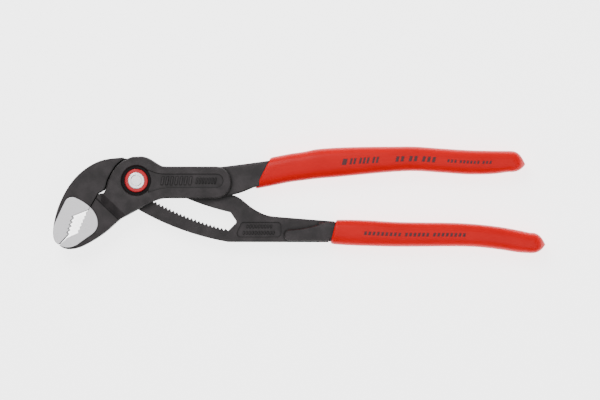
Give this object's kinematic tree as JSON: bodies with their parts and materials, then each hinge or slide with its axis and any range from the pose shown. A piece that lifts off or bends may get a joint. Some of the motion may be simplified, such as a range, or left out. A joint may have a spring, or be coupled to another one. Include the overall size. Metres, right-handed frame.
{
  "type": "tongue and groove pliers",
  "caption": "Adjustable box-joint pliers with a curved toothed slot, a push-button ratchet hinge, toothed jaws and dipped grips.",
  "frame": {"origin": "on the hinge bolt's axis, at the back face the pliers lie on", "axes": "+Z along the hinge bolt towards the push button, +X towards the handle ends, the jaws point to -X and -Y"},
  "size_m": [0.2492, 0.0543, 0.014],
  "materials": {
    "forging": "dark satin phosphate finish, jaws ground bright",
    "grip": "smooth dipped coating",
    "bolt": "dark satin",
    "hardened": "machined",
    "spring": "spring steel",
    "bright": "satin bright",
    "collar": "anodised red"
  },
  "bodies": {
    "box_lever": {"box_lever": "forging", "upper_grip": "grip"},
    "hinge_bolt": {"hinge_bolt": "bolt", "rear_washer": "bolt", "bolt_retaining_ring": "spring", "rear_cap": "bolt", "pawl_spring": "spring", "button_spring": "spring"},
    "slotted_lever": {"slotted_lever": "forging", "lower_grip": "grip"},
    "button": {"release_pin": "hardened", "push_button": "bright", "button_collar": "collar", "pin_snap_ring": "spring"},
    "pawl": {"ratchet_pawl": "hardened"}
  },
  "joints": [
    {"name": "jaw_pivot", "type": "hinge", "parent": "box_lever", "child": "hinge_bolt", "pos_m": [0, 0, 0.0065], "axis": [0, 0, -1], "range_deg": [0, 40]},
    {"name": "jaw_adjust", "type": "hinge", "parent": "hinge_bolt", "child": "slotted_lever", "pos_m": [0.08084, 0.12062, 0.0065], "axis": [0, 0, -1], "range_deg": [0, 18.36]},
    {"name": "button_press", "type": "slide", "parent": "hinge_bolt", "child": "button", "axis": [0, 0, -1], "range_m": [0, 0.0015], "stiffness_N_per_m": 1500, "springref_m": -0.001, "deforming": ["button_spring"]},
    {"name": "pawl_lift", "type": "slide", "parent": "hinge_bolt", "child": "pawl", "axis": [0.5567, 0.8307, 0], "range_m": [0, 0.0012], "deforming": ["pawl_spring"]}
  ],
  "couplings": [
    {"joint": "pawl_lift", "follows": "button_press", "ratio": 0.8}
  ]
}
